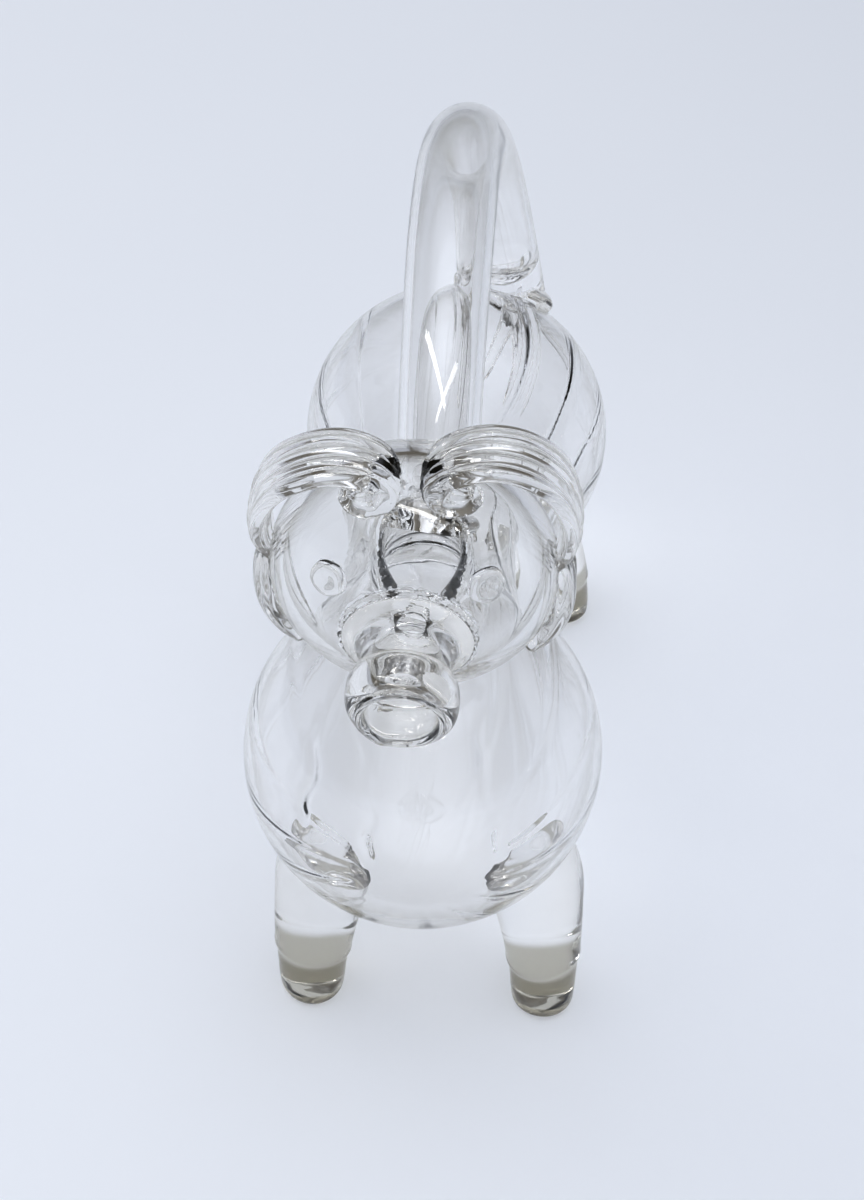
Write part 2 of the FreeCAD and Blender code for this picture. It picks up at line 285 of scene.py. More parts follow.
# Ribs run lengthwise on the skin. Wrinkles, as (across, wander, tremble), run up the chest inside.
RIB_COUNT = 15
RIB_SHARPNESS = 12
RIB_OUTSIDE = 0.15
RIB_INSIDE = 1.05
WRINKLES = [(-27.0, 2.0, 0.7), (-12.5, 2.2, 1.0), (20.0, 3.0, 0.5)]
WRINKLE_WIDTH = 1.2
WRINKLE_HEIGHT = 0.8
WRINKLE_LOW, WRINKLE_HIGH, WRINKLE_FADE = 1.0, 38.0, 9.0

# The neck, as (x, y, z, radius) up its middle line.
NECK_CIRCLES = np.array([
    (0, 8.0, 34.0, 26.0), (0, 8.0, 45.0, 19.0), (0, 7.0, 55.0, 15.0),
    (0, 5.0, 64.0, 13.2), (0, 1.0, 74.0, 12.6), (0, -12.0, 86.0, 12.4),
])


def ribs(p):
    """Narrow lengthwise ribs from the optic mould, uneven in height, that wander a little."""
    turn = np.arctan2(p[:, 0], p[:, 2])
    along = p[:, 1]
    r = np.hypot(p[:, 0], p[:, 2])
    drift = 0.10 * np.sin(along / 31.0) + 0.05 * np.sin(along / 13.0 + 2 * turn)
    ridge = (0.5 + 0.5 * np.cos(RIB_COUNT * (turn + drift))) ** RIB_SHARPNESS
    height = (0.65 + 0.35 * np.sin(3 * turn + 0.7)) * np.clip(0.4 + along / 200, 0.3, 1)
    return ridge * height * np.clip((r - 14.0) / 22.0, 0, 1)


def wrinkles(p):
    """Thin crinkled lines on the inside of the chest, where the gather folded as it was blown."""
    total = 0
    for across, wander, tremble in WRINKLES:
        z = p[:, 2]
        gap = p[:, 0] - (across + wander * np.sin(z / 9.0 + across) + tremble * np.sin(z / 2.1 + across))
        swell = 0.55 + 0.45 * np.sin(z / 5.0 + across)
        total = total + swell * np.exp(-((gap / WRINKLE_WIDTH) ** 2))
    above = np.clip((p[:, 2] - WRINKLE_LOW) / WRINKLE_FADE, 0, 1)
    below = np.clip((WRINKLE_HIGH - p[:, 2]) / WRINKLE_FADE, 0, 1)
    return total * (above * below) * (p[:, 1] < 0)


def bulbs_field(p, inset):
    """The two bulbs and the waist between them."""
    y = np.where(p[:, 1] > BODY_SPAN / 2, BODY_SPAN - p[:, 1], p[:, 1])
    r = np.hypot(p[:, 0], p[:, 2])
    half = BODY_SPAN / 2
    hollow = (half**2 + WAIST_R**2 - BULB_R**2) / (2 * (BULB_R - WAIST_R))
    ball = np.hypot(r, y) - BULB_R
    waist = hollow - np.hypot(r - WAIST_R - hollow, y - half)
    return np.where(y * (WAIST_R + hollow) < r * half, ball, waist) + inset


def neck_field(p, inset):
    """A chain of balls of changing size along the neck."""
    best = np.full(len(p), 1e9)
    for a, b in zip(NECK_CIRCLES[:-1], NECK_CIRCLES[1:]):
        span = b[:3] - a[:3]
        t = np.clip(((p - a[:3]) @ span) / (span @ span), 0, 1)
        gap = np.linalg.norm(p - (a[:3] + t[:, None] * span), axis=1)
        best = np.minimum(best, gap - (a[3] + t * (b[3] - a[3])))
    return best + inset


def head_axes(p):
    q = p - HEAD_CENTRE
    return q @ SIDE, q @ CROWN, q @ NOSE


def head_field(p, inset):
    out, up, forward = head_axes(p)
    wide, deep = HEAD_R - inset, HEAD_HALF_DEPTH - inset
    k0 = np.sqrt((out / wide) ** 2 + (up / wide) ** 2 + (forward / deep) ** 2)
    k1 = np.sqrt((out / wide**2) ** 2 + (up / wide**2) ** 2 + (forward / deep**2) ** 2)
    return k0 * (k0 - 1) / np.maximum(k1, 1e-6)


def tube_field(p, radius):
    """A round bar along the nose."""
    out, up, forward = head_axes(p)
    return np.maximum(np.hypot(out, up) - radius, -forward)


def muzzle_outside(p):
    """The muzzle's outside, with faint turned rings."""
    forward = head_axes(p)[2]
    rings = MUZZLE_RING_HEIGHT * np.cos(forward * 2 * math.pi / MUZZLE_RING_PITCH)
    rings = rings * np.clip((forward - MUZZLE_RING_START) / 4, 0, 1)
    return tube_field(p, MUZZLE_R + rings)


def body_outside(p):
    return smooth_min(bulbs_field(p, 0) - RIB_OUTSIDE * ribs(p), neck_field(p, 0), BODY_NECK_BLEND)


def head_outside(p):
    return smooth_min(head_field(p, 0), muzzle_outside(p), HEAD_MUZZLE_BLEND)


def outside(p):
    """The outside of body, head and muzzle together."""
    return smooth_min(body_outside(p), head_outside(p), BODY_HEAD_BLEND)


def cavity(p):
    """The hollow inside body, head and muzzle together."""
    relief = RIB_INSIDE * ribs(p) + WRINKLE_HEIGHT * wrinkles(p)
    body = smooth_min(bulbs_field(p, BODY_WALL) + relief, neck_field(p, NECK_WALL), BODY_NECK_HOLLOW)
    top = smooth_min(head_field(p, HEAD_WALL), tube_field(p, BORE_R), HEAD_BORE_HOLLOW)
    return smooth_min(body, top, BODY_HEAD_HOLLOW)


def vessel(p):
    forward = head_axes(p)[2]
    shell = smooth_max(outside(p), -cavity(p), SHELL_ROUNDING)
    return smooth_max(shell, forward - MOUTH_REACH, MOUTH_ROUNDING)


def head_split(p):
    """Below zero on the head's side of the joint between neck and head."""
    return head_field(p, -NECK_JOINT_OUT)


def muzzle_split(p):
    """Below zero on the muzzle's side of the joint between head and muzzle."""
    out, up, forward = head_axes(p)
    return np.maximum(np.hypot(out, up) - MUZZLE_JOINT_R, MUZZLE_JOINT_BACK - forward)


def near_top(p):
    return np.minimum(head_split(p), muzzle_split(p))


def body_piece(p):
    return np.maximum(vessel(p), -near_top(p))


def head_piece(p):
    return np.maximum(np.maximum(vessel(p), head_split(p)), -muzzle_split(p))


def muzzle_piece(p):
    return np.maximum(vessel(p), muzzle_split(p))


# ---------------------------------------------------------------- materials

GLASS_IOR = 1.5
WOBBLE = 0.00003
# Where the painted shade on the hoof begins, and how softly it fades in.
FOOT_HEIGHT = 0.0165
FOOT_BLEND = 0.0022
SHADOW_TINT = (0.955, 0.958, 0.965)


def glass(name, tint, edge_tint_and_shade, edge_start, wobble_scale, foot_shade=None):
    """Fire-polished glass: faintly wavy, and dark olive where it is looked through edge-on: partly the
    glass's own tint, mostly painted shade for its dark rims.
    """
    material = bpy.data.materials.new(name)
    material.use_nodes = True
    nodes, links = material.node_tree.nodes, material.node_tree.links
    shader = nodes["Principled BSDF"]
    shader.inputs["Roughness"].default_value = 0.0
    shader.inputs["IOR"].default_value = GLASS_IOR
    shader.inputs["Transmission Weight"].default_value = 1.0
    place = nodes.new("ShaderNodeTexCoord")
    noise = nodes.new("ShaderNodeTexNoise")
    noise.inputs["Scale"].default_value = wobble_scale
    noise.inputs["Detail"].default_value = 1.0
    bump = nodes.new("ShaderNodeBump")
    bump.inputs["Strength"].default_value = 1.0
    bump.inputs["Distance"].default_value = WOBBLE
    links.new(place.outputs["Object"], noise.inputs["Vector"])
    links.new(noise.outputs["Fac"], bump.inputs["Height"])
    links.new(bump.outputs["Normal"], shader.inputs["Normal"])
    # Painted shade at the edges: the colour darkens towards the edge colour where the glass is seen edge-on.
    slope = nodes.new("ShaderNodeLayerWeight")
    slope.inputs["Blend"].default_value = 0.5
    colour = ramp_node(nodes, [(edge_start, tint), (1.0, edge_tint_and_shade)])
    links.new(slope.outputs["Facing"], colour.inputs["Fac"])
    result = colour.outputs["Color"]
    # Painted shade: the hoof below its ridge is darkened.
    if foot_shade:
        result = paint_foot_shade(nodes, links, place, result, foot_shade)
    links.new(result, shader.inputs["Base Color"])
    let_lamps_through(nodes, links, shader)
    return material


def ramp_node(nodes, stops):
    """A colour ramp through these stops, each a place and a colour."""
    ramp = nodes.new("ShaderNodeValToRGB")
    ramp.color_ramp.interpolation = "EASE"
    elements = ramp.color_ramp.elements
    while len(elements) < len(stops):
        elements.new(0.5)
    for element, (place, colour) in zip(elements, stops):
        element.position = place
        element.color = (*colour, 1)
    return ramp


def paint_foot_shade(nodes, links, place, colour, foot_shade):
    """Multiplies a colour by a painted shade below the ridge of the hoof, so the solid foot looks dark."""
    split = nodes.new("ShaderNodeSeparateXYZ")
    height = nodes.new("ShaderNodeMapRange")
    height.interpolation_type = "SMOOTHSTEP"
    height.inputs["From Min"].default_value = FOOT_HEIGHT - FOOT_BLEND
    height.inputs["From Max"].default_value = FOOT_HEIGHT + FOOT_BLEND
    foot = ramp_node(nodes, [(0.0, foot_shade), (1.0, (1.0, 1.0, 1.0))])
    mix = nodes.new("ShaderNodeMixRGB")
    mix.blend_type = "MULTIPLY"
    mix.inputs["Fac"].default_value = 1.0
    links.new(place.outputs["Object"], split.inputs["Vector"])
    links.new(split.outputs["Z"], height.inputs["Value"])
    links.new(height.outputs["Result"], foot.inputs["Fac"])
    links.new(colour, mix.inputs["Color1"])
    links.new(foot.outputs["Color"], mix.inputs["Color2"])
    return mix.outputs["Color"]


def let_lamps_through(nodes, links, shader):
    """Glass casts a light shadow: the lamps shine through it, a little dimmed."""
    path = nodes.new("ShaderNodeLightPath")
    clear = nodes.new("ShaderNodeBsdfTransparent")
    clear.inputs["Color"].default_value = (*SHADOW_TINT, 1)
    mix = nodes.new("ShaderNodeMixShader")
    links.new(path.outputs["Is Shadow Ray"], mix.inputs["Fac"])
    links.new(shader.outputs["BSDF"], mix.inputs[1])
    links.new(clear.outputs["BSDF"], mix.inputs[2])
    links.new(mix.outputs["Shader"], nodes["Material Output"].inputs["Surface"])


def weld_material():
    """The inside faces where two pieces are one glass: light passes with no change."""
    material = bpy.data.materials.new("fused_joint")
    material.use_nodes = True
    nodes, links = material.node_tree.nodes, material.node_tree.links
    nodes.remove(nodes["Principled BSDF"])
    clear = nodes.new("ShaderNodeBsdfTransparent")
    links.new(clear.outputs["BSDF"], nodes["Material Output"].inputs["Surface"])
    return material


def floor_material():
    material = bpy.data.materials.new("pale_floor")
    material.use_nodes = True
    nodes, links = material.node_tree.nodes, material.node_tree.links
    shader = nodes["Principled BSDF"]
    shader.inputs["Roughness"].default_value = 0.6
    shader.inputs["Specular IOR Level"].default_value = 0.15
    place = nodes.new("ShaderNodeTexCoord")
    noise = nodes.new("ShaderNodeTexNoise")
    noise.inputs["Scale"].default_value = 3.0
    ramp = nodes.new("ShaderNodeValToRGB")
    ramp.color_ramp.elements[0].color = (0.80, 0.835, 0.90, 1)
    ramp.color_ramp.elements[1].color = (0.83, 0.865, 0.925, 1)
    links.new(place.outputs["Object"], noise.inputs["Vector"])
    links.new(noise.outputs["Fac"], ramp.inputs["Fac"])
    links.new(ramp.outputs["Color"], shader.inputs["Base Color"])
    return material


# Each glass has its own colour, the colour at its edges (partly tint, mostly painted shade), where the edge
# colour begins and how fine its waviness is. The legs' glass also has a painted shade for the hoof.
THIN = glass("thin_clear_glass", (0.990, 0.988, 0.984), (0.55, 0.53, 0.465), 0.55, 60.0)
HEAD = glass("head_clear_glass", (0.985, 0.983, 0.976), (0.30, 0.28, 0.215), 0.40, 60.0)
THICK = glass("solid_clear_glass", (0.975, 0.968, 0.945), (0.40, 0.375, 0.30), 0.42, 90.0)
LEG = glass("leg_clear_glass", (0.985, 0.980, 0.965), (0.50, 0.475, 0.40), 0.50, 90.0, (0.30, 0.275, 0.205))
WELD = weld_material()


# ---------------------------------------------------------------- pieces

def finish_piece(piece, material, slot, *nodes):
    piece.data.materials.append(material)
    piece.data.materials.append(WELD)
    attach(piece, "root")
    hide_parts(*nodes)
    return piece


# Mesh steps, as (quick, final), and the corners of the space that each mesh is looked for in.
BODY_STEPS, HEAD_STEPS, MUZZLE_SHARE = (1.1, 0.85), (1.1, 0.7), 0.6
BODY_REACH = BULB_R + 3
BODY_SPACE = (-BODY_REACH, -BODY_REACH, -BODY_REACH), (BODY_REACH, BODY_SPAN + BODY_REACH, 100)
HEAD_SPACE = (-40, -58, 44), (40, 10, 124)
MUZZLE_SPACE = (-24, -80, 50), (24, -30, 104)
JOINT_TOLERANCE = 0.02


def add_vessel():
    """The three blown pieces, as objects by name."""
    step = BODY_STEPS[1]
    body = field_mesh(body_piece, *BODY_SPACE, step)
    body = finish_piece(mesh_object("body_bubble_glass", *body), THIN, "clear_glass", "body_bubble")
    step = HEAD_STEPS[1]
    head = field_mesh(head_piece, *HEAD_SPACE, step)
    head = finish_piece(mesh_object("head_bulb_glass", *head), HEAD, "clear_glass", "head_bulb")
    muzzle = field_mesh(muzzle_piece, *MUZZLE_SPACE, step * MUZZLE_SHARE)
    muzzle = finish_piece(mesh_object("muzzle_tube_glass", *muzzle), THICK, "clear_glass", "muzzle_tube")
    for piece, joint in ((body, near_top), (head, head_split), (head, muzzle_split), (muzzle, muzzle_split)):
        weld_where(piece, joint)
    return {"body": body, "head": head, "muzzle": muzzle}


def points_of(piece):
    """A piece's vertices in millimetres from the chest."""
    flat = np.zeros(len(piece.data.vertices) * 3)
    piece.data.vertices.foreach_get("co", flat)
    return (flat.reshape(-1, 3) - np.array(CHEST)) / MM


CREASE = math.radians(38)


def crisp_edges(piece):
    """Keeps a joint's faces out of the smooth shading round them, and keeps real creases sharp."""
    for face in piece.data.polygons:
        if face.material_index == 1:
            face.use_smooth = False
    piece.data.set_sharp_from_angle(angle=CREASE)


def weld_where(piece, joint):
    """Gives the faces that lie on a joint between blown pieces no surface of their own."""
    on_joint = np.abs(joint(points_of(piece))) < JOINT_TOLERANCE
    for face in piece.data.polygons:
        if all(on_joint[i] for i in face.vertices):
            face.material_index = 1


# Distances for fusing: how close counts as on the skin, how far apart two pieces' shared faces may
# lie, and how deep inside a piece its neighbour's face must be to count as covered.
SKIN = 0.01
SAME_SKIN = 0.5
WELD_MARGIN = 0.35
SKIN_TREES = {}


def applied(name, vertices, faces, slot, node, field, neighbours, material=None):
    """A dab of glass: what would lie inside its neighbour is moved out to the neighbour's skin."""
    vertices = np.asarray(vertices, float)
    solid = BVHTree.FromPolygons(vertices.tolist(), outward(vertices, faces))
    under = field(vertices) < SKIN
    vertices[under] = onto(field, vertices[under], 8)
    piece = finish_piece(mesh_object(name, vertices, faces), material or THICK, slot, node)
    fuse(piece, under, solid, vertices, neighbours)
    return piece


def fuse(piece, under, solid, vertices, neighbours):
    """Marks the faces that the piece and its neighbours share as fused, on both sides."""
    shared = []
    for neighbour in neighbours:
        weld_under(neighbour, solid, vertices)
        shared.append((neighbour, skin_tree(neighbour)))
    for face in piece.data.polygons:
        if all(under[i] for i in face.vertices):
            centre = (face.center - CHEST) / MM
            for neighbour, tree in shared:
                _, _, index, distance = tree.find_nearest(centre, SAME_SKIN)
                if index is not None and neighbour.data.polygons[index].material_index == 1:
                    face.material_index = 1


def skin_tree(piece):
    """A search tree of a piece's faces, in millimetres from the chest."""
    if piece.name not in SKIN_TREES:
        faces = [tuple(face.vertices) for face in piece.data.polygons]
        SKIN_TREES[piece.name] = BVHTree.FromPolygons(points_of(piece).tolist(), faces)
    return SKIN_TREES[piece.name]


def weld_under(neighbour, solid, vertices):
    """Marks a neighbour's outside faces that lie well inside a solid."""
    faces = neighbour.data.polygons
    centres, normals = np.zeros(len(faces) * 3), np.zeros(len(faces) * 3)
    faces.foreach_get("center", centres)
    faces.foreach_get("normal", normals)
    centres, normals = (centres.reshape(-1, 3) - np.array(CHEST)) / MM, normals.reshape(-1, 3)
    near = ((centres >= vertices.min(0) - 1) & (centres <= vertices.max(0) + 1)).all(1)
    for index in np.flatnonzero(near):
        normal = Vector(normals[index])
        hit, hit_normal, _, distance = solid.ray_cast(Vector(centres[index]) + normal * SKIN, normal)
        if hit is not None and hit_normal.dot(normal) > 0 and distance > WELD_MARGIN:
            faces[int(index)].material_index = 1


def seated(rings, field):
    """Rings of a bar whose first rings are buried: each lengthwise line starts where it leaves the skin."""
    rings = np.asarray(rings, float)
    count, around = rings.shape[:2]
    buried = field(rings.reshape(-1, 3)).reshape(count, around) < 0
    last = np.array([np.flatnonzero(buried[:, i]).max(initial=0) for i in range(around)])
    line = np.arange(around)
    low, high = last.astype(float), np.minimum(last + 1, count - 1).astype(float)
    for _ in range(14):
        middle = (low + high) / 2
        inside = field(along_lines(rings, middle, line)) < 0
        low, high = np.where(inside, middle, low), np.where(inside, high, middle)
    start = high
    rows = [along_lines(rings, start + (count - 1 - start) * share, line)
            for share in np.linspace(0, 1, count - int(start.mean()))]
    centre = rows[0].mean(0)
    caps = [onto(field, centre + (rows[0] - centre) * size, 8) for size in np.linspace(0.04, 0.92, 12)]
    rows[0] = onto(field, rows[0], 3)
    return caps + rows, len(caps) + 1


def along_lines(rings, where, line):
    """One point on each lengthwise line, at a ring number that need not be whole."""
    at = np.clip(where.astype(int), 0, len(rings) - 2)
    share = (where - at)[:, None]
    return rings[at, line] * (1 - share) + rings[at + 1, line] * share


# How finely each applied piece is divided, along and around.
HORN_GRID, EAR_GRID, DRIP_GRID = (150, 72), (90, 72), (70, 40)
LEG_GRID, PAD_GRID, COLLAR_GRID = (150, 96), (50, 120), (160, 40)


def swept(rows, count, around, section, across_hint):
    """Rings along a smooth path. Each row is a point and then the numbers that section needs."""
    rows = smooth_rows(rows, count)
    centres = rows[:, :3]
    ahead = unit(np.gradient(centres, axis=0))
    wide = unit(across_hint - (ahead @ across_hint)[:, None] * ahead)
    thick = np.cross(ahead, wide)
    rings = []
    for i in range(count):
        u, v = section(rows[i, 3:], around, i / (count - 1))
        rings.append(centres[i] + u[:, None] * wide[i] + v[:, None] * thick[i])
    return ring_mesh(rings)


def power(values, exponent):
    return np.sign(values) * np.abs(values) ** exponent


def in_head(rows, side):
    """Rows of (out, up, forward, ...) about the head's middle as rows of (x, y, z, ...)."""
    rows = np.asarray(rows, float)
    place = HEAD_CENTRE + rows[:, 0:1] * side * SIDE + rows[:, 1:2] * CROWN + rows[:, 2:3] * NOSE
    return np.hstack([place, rows[:, 3:]])


REED_COUNT = 4.5
REED_HEIGHT = 0.42


def reeded(row, around, share):
    """A strap's section: flat, round-edged, with lengthwise reeds on its broad faces."""
    half_width, half_thickness = row[0], row[1]
    a = np.linspace(0, 2 * math.pi, around, endpoint=False)
    u = half_width * power(np.cos(a), 0.75)
    reed = REED_HEIGHT * np.cos(2 * math.pi * REED_COUNT * u / (2 * half_width)) * np.abs(np.sin(a)) ** 0.5
    fade = min(1.0, half_width / 6.0)
    v = (half_thickness + reed * fade) * power(np.sin(a), 0.6)
    return u, v


# A horn: its side, and its middle line from the ear over the head to the curled end, as (out, up,
# forward, half width, half thickness) from the head's middle.
HORNS = {
    "left_horn": (1, [
        (33.6, 3.0, 0.5, 3.0, 1.4), (36.4, 10.0, 0.8, 4.8, 2.0), (37.8, 18.0, 0.8, 6.6, 2.4),
        (37.2, 27.0, 0.8, 7.8, 2.5), (33.4, 35.5, 0.8, 8.2, 2.5), (26.8, 41.0, 0.8, 8.2, 2.5),
        (19.6, 43.0, 1.0, 8.0, 2.7), (13.2, 42.2, 1.6, 7.8, 3.2), (8.4, 39.8, 2.8, 7.4, 3.7),
        (6.6, 36.6, 4.4, 6.6, 3.8), (9.0, 33.8, 6.2, 5.4, 3.4), (13.2, 34.2, 7.6, 4.0, 2.8),
        (16.2, 36.4, 8.2, 2.2, 1.8),
    ]),
    "right_horn": (-1, [
        (33.6, 3.0, 0.5, 3.0, 1.4), (36.0, 10.0, 0.8, 5.0, 2.0), (36.9, 17.0, 0.8, 7.0, 2.4),
        (35.8, 24.6, 0.8, 8.2, 2.5), (32.0, 32.0, 0.8, 8.6, 2.5), (25.8, 36.8, 0.8, 8.6, 2.5),
        (18.8, 39.4, 1.0, 8.3, 2.8), (12.6, 39.6, 1.8, 7.8, 3.3), (7.9, 37.8, 3.2, 7.2, 3.8),
        (6.2, 34.8, 5.0, 6.4, 3.7), (9.0, 32.2, 6.8, 5.2, 3.3), (13.0, 33.0, 8.0, 3.6, 2.6),
        (15.4, 35.4, 8.4, 1.8, 1.6),
    ]),
}

# An ear's middle line, in the same terms.
EAR_FOLD = 0.45
EAR_ROWS = [
    (35.4, 9.5, -1.5, 2.0, 1.2), (36.6, 4.0, -1.0, 4.8, 2.6), (36.8, -3.0, 0.0, 6.4, 3.3),
    (35.8, -11.0, 1.2, 6.2, 3.4), (32.6, -19.0, 2.8, 4.4, 3.0), (29.2, -25.6, 4.0, 1.6, 1.5),
]


def add_horn(name, vessel_pieces):
    side, rows = HORNS[name]
    mesh = swept(in_head(rows, side), *HORN_GRID, reeded, NOSE)
    applied(f"{name}_glass", *mesh, "thick_glass", name, head_outside, [vessel_pieces["head"]])


def folded(row, around, share):
    """A leaf's section: two soft lobes with a fold down the middle between them."""
    a = np.linspace(0, 2 * math.pi, around, endpoint=False)
    u = row[0] * power(np.cos(a), 0.8)
    fold = 1 - EAR_FOLD * np.exp(-((u / (0.22 * row[0])) ** 2))
    return u, row[1] * fold * power(np.sin(a), 0.7)


def add_ear(name, side, vessel_pieces):
    mesh = swept(in_head(EAR_ROWS, side), *EAR_GRID, folded, NOSE)
    applied(f"{name}_glass", *mesh, "thick_glass", name, head_outside, [vessel_pieces["head"]])


EYE_R = 4.7
EYE_OUT = 18.5
EYE_UP = 16.8
EYE_HEIGHT = 2.5
EYE_DIMPLE, EYE_DIMPLE_WIDTH = 0.7, 0.16


def add_eye(name, side, vessel_pieces):
    """A round button of glass with a faint dimple."""
    forward = HEAD_HALF_DEPTH * math.sqrt(1 - (EYE_OUT**2 + EYE_UP**2) / HEAD_R**2)
    centre = in_head([(EYE_OUT, EYE_UP, forward)], side)[0]
    normal = unit(gradient(lambda q: head_field(q, 0), centre[None]))[0]
    u = unit(np.cross(normal, CROWN))
    v = np.cross(normal, u)
    a = np.linspace(0, 2 * math.pi, 64, endpoint=False)
    rings = []
    for share in np.linspace(0.0, 1.0, 26)[1:]:
        turn = share * math.pi
        radius = EYE_R * math.sin(turn) ** 0.8 * (1 + 0.03 * np.sin(2 * a + 1) + 0.02 * np.sin(5 * a))
        height = EYE_HEIGHT * math.cos(turn) - EYE_DIMPLE * math.exp(-((share / EYE_DIMPLE_WIDTH) ** 2))
        ring = centre + normal * height
        rings.append(ring + (radius * np.cos(a))[:, None] * u + (radius * np.sin(a))[:, None] * v)
    mesh = ring_mesh(rings[:-1])
    applied(f"{name}_glass", *mesh, "clear_glass", name, head_outside, [vessel_pieces["head"]])


COLLAR_R = 13.6
COLLAR_HALF_LENGTH = 5.4
COLLAR_MIDDLE = 40.6
COLLAR_BITE = 2.2
LAP_AT, LAP_WIDTH = math.radians(235), 0.34


def add_collar(vessel_pieces):
    """A trail wound once round the mouth, whose end laps over its start at the lower right."""
    around, across = COLLAR_GRID
    a = np.linspace(0, 2 * math.pi, around, endpoint=False)
    b = np.linspace(0, 2 * math.pi, across, endpoint=False)
    lap = np.exp(-(((a - LAP_AT) / LAP_WIDTH) ** 2))
    fat = 1 + 0.05 * np.sin(a + 0.6) + 0.04 * np.sin(3 * a) + 0.05 * lap * np.sin(9 * a)
    shift = 0.5 * np.sin(a + 2.2) + 0.7 * lap
    vertices = []
    for i in range(around):
        radial = math.cos(a[i]) * SIDE + math.sin(a[i]) * CROWN
        depth = (COLLAR_R - MUZZLE_R + COLLAR_BITE) / 2 * fat[i]
        middle = COLLAR_R - depth + (fat[i] - 1) * 1.5
        r = middle + depth * power(np.sin(b), 0.9)
        forward = COLLAR_MIDDLE + shift[i] + COLLAR_HALF_LENGTH * fat[i] * power(np.cos(b), 0.85)
        forward = forward + 0.35 * lap[i] * np.sin(3 * b)
        vertices.append(HEAD_CENTRE + r[:, None] * radial + forward[:, None] * NOSE)
    vertices = np.concatenate(vertices)
    faces = []
    for i in range(around):
        for j in range(across):
            k, m = (i + 1) % around, (j + 1) % across
            faces.append((i * across + j, i * across + m, k * across + m, k * across + j))
    applied("mouth_collar_glass", vertices, faces, "thick_glass", "mouth_collar", head_outside,
            [vessel_pieces["muzzle"]])


# The handle's arch stands in a plane along the body, and its rear half leans to the animal's left.
ARCH_BACK, ARCH_UP, ARCH_R = 92.0, 38.0, 90.0
ARCH_X, ARCH_LEAN = 3.0, 13.0
HANDLE_WALL = 2.2
HANDLE_R = 11.6
HANDLE_NAPE_R = 10.4
NARROWS_AT, NARROWING_SPAN = 110, 52
HANDLE_WAVE, HANDLE_WAVES = 0.12, 5
HANDLE_MIDDLE = 80

# Degrees round the arch: where the skin is buried at each end, and where the hollow closes.
FRONT_END, REAR_END = 163.0, -6.0
FRONT_CLOSE, REAR_CLOSE = 150.5, 4.5


def arch_point(degrees):
    """A point on the handle's middle line: 0 degrees is level at the rear, 90 is the top."""
    angle = math.radians(degrees)
    lean = max(0.0, 1 - degrees / 90) ** 2
    return np.array((
        ARCH_X + ARCH_LEAN * lean, ARCH_BACK + ARCH_R * math.cos(angle), ARCH_UP + ARCH_R * math.sin(angle)
    ))


def handle_radius(degrees):
    narrowing = np.clip((degrees - NARROWS_AT) / NARROWING_SPAN, 0, 1)
    wave = HANDLE_WAVE * math.sin(math.radians(degrees * HANDLE_WAVES))
    return HANDLE_R - (HANDLE_R - HANDLE_NAPE_R) * narrowing + wave


def handle_ring(degrees, radius, around):
    ahead = unit(arch_point(degrees + 0.5) - arch_point(degrees - 0.5))
    wide = unit(SIDE - ahead * (ahead @ SIDE))
    thick = np.cross(ahead, wide)
    a = np.linspace(0, 2 * math.pi, around, endpoint=False)[:, None]
    return arch_point(degrees) + radius * (np.cos(a) * wide + np.sin(a) * thick)


def add_handle(field, neighbours):
    """The arched tube: a skin seated on its neighbours at both ends, and a closed hollow inside it."""
    around = 96
    front = [handle_ring(t, handle_radius(t), around) for t in np.linspace(FRONT_END, HANDLE_MIDDLE, 110)]
    rear = [handle_ring(t, handle_radius(t), around) for t in np.linspace(REAR_END, HANDLE_MIDDLE, 110)]
    front, sunk = seated(front, field)
    rear, _ = seated(rear, field)
    outer, outer_faces = ring_mesh(front + rear[-2::-1])
    under = np.zeros(len(outer), bool)
    under[:sunk * around] = True
    under[(len(front) + len(rear) - 1 - sunk) * around:] = True
    hollow = []
    for t in np.linspace(FRONT_CLOSE, REAR_CLOSE, 200)[1:-1]:
        from_end = math.radians(min(FRONT_CLOSE - t, t - REAR_CLOSE)) * ARCH_R
        radius = handle_radius(t) - HANDLE_WALL
        dome = math.sqrt(max(0.0, 1 - max(0.0, 1 - from_end / radius) ** 2))
        hollow.append(handle_ring(t, radius * dome, around))
    inner, inner_faces = ring_mesh(hollow)
    outer_faces = outward(outer, outer_faces)
    solid = BVHTree.FromPolygons(outer.tolist(), outer_faces)
    inner_faces = [tuple(i + len(outer) for i in face[::-1]) for face in outward(inner, inner_faces)]
    vertices = np.concatenate([outer, inner])
    piece = mesh_object("handle_tube_glass", vertices, outer_faces + inner_faces)
    finish_piece(piece, THIN, "clear_glass", "handle_tube")
    fuse(piece, np.concatenate([under, np.zeros(len(inner), bool)]), solid, outer, neighbours)
    return piece


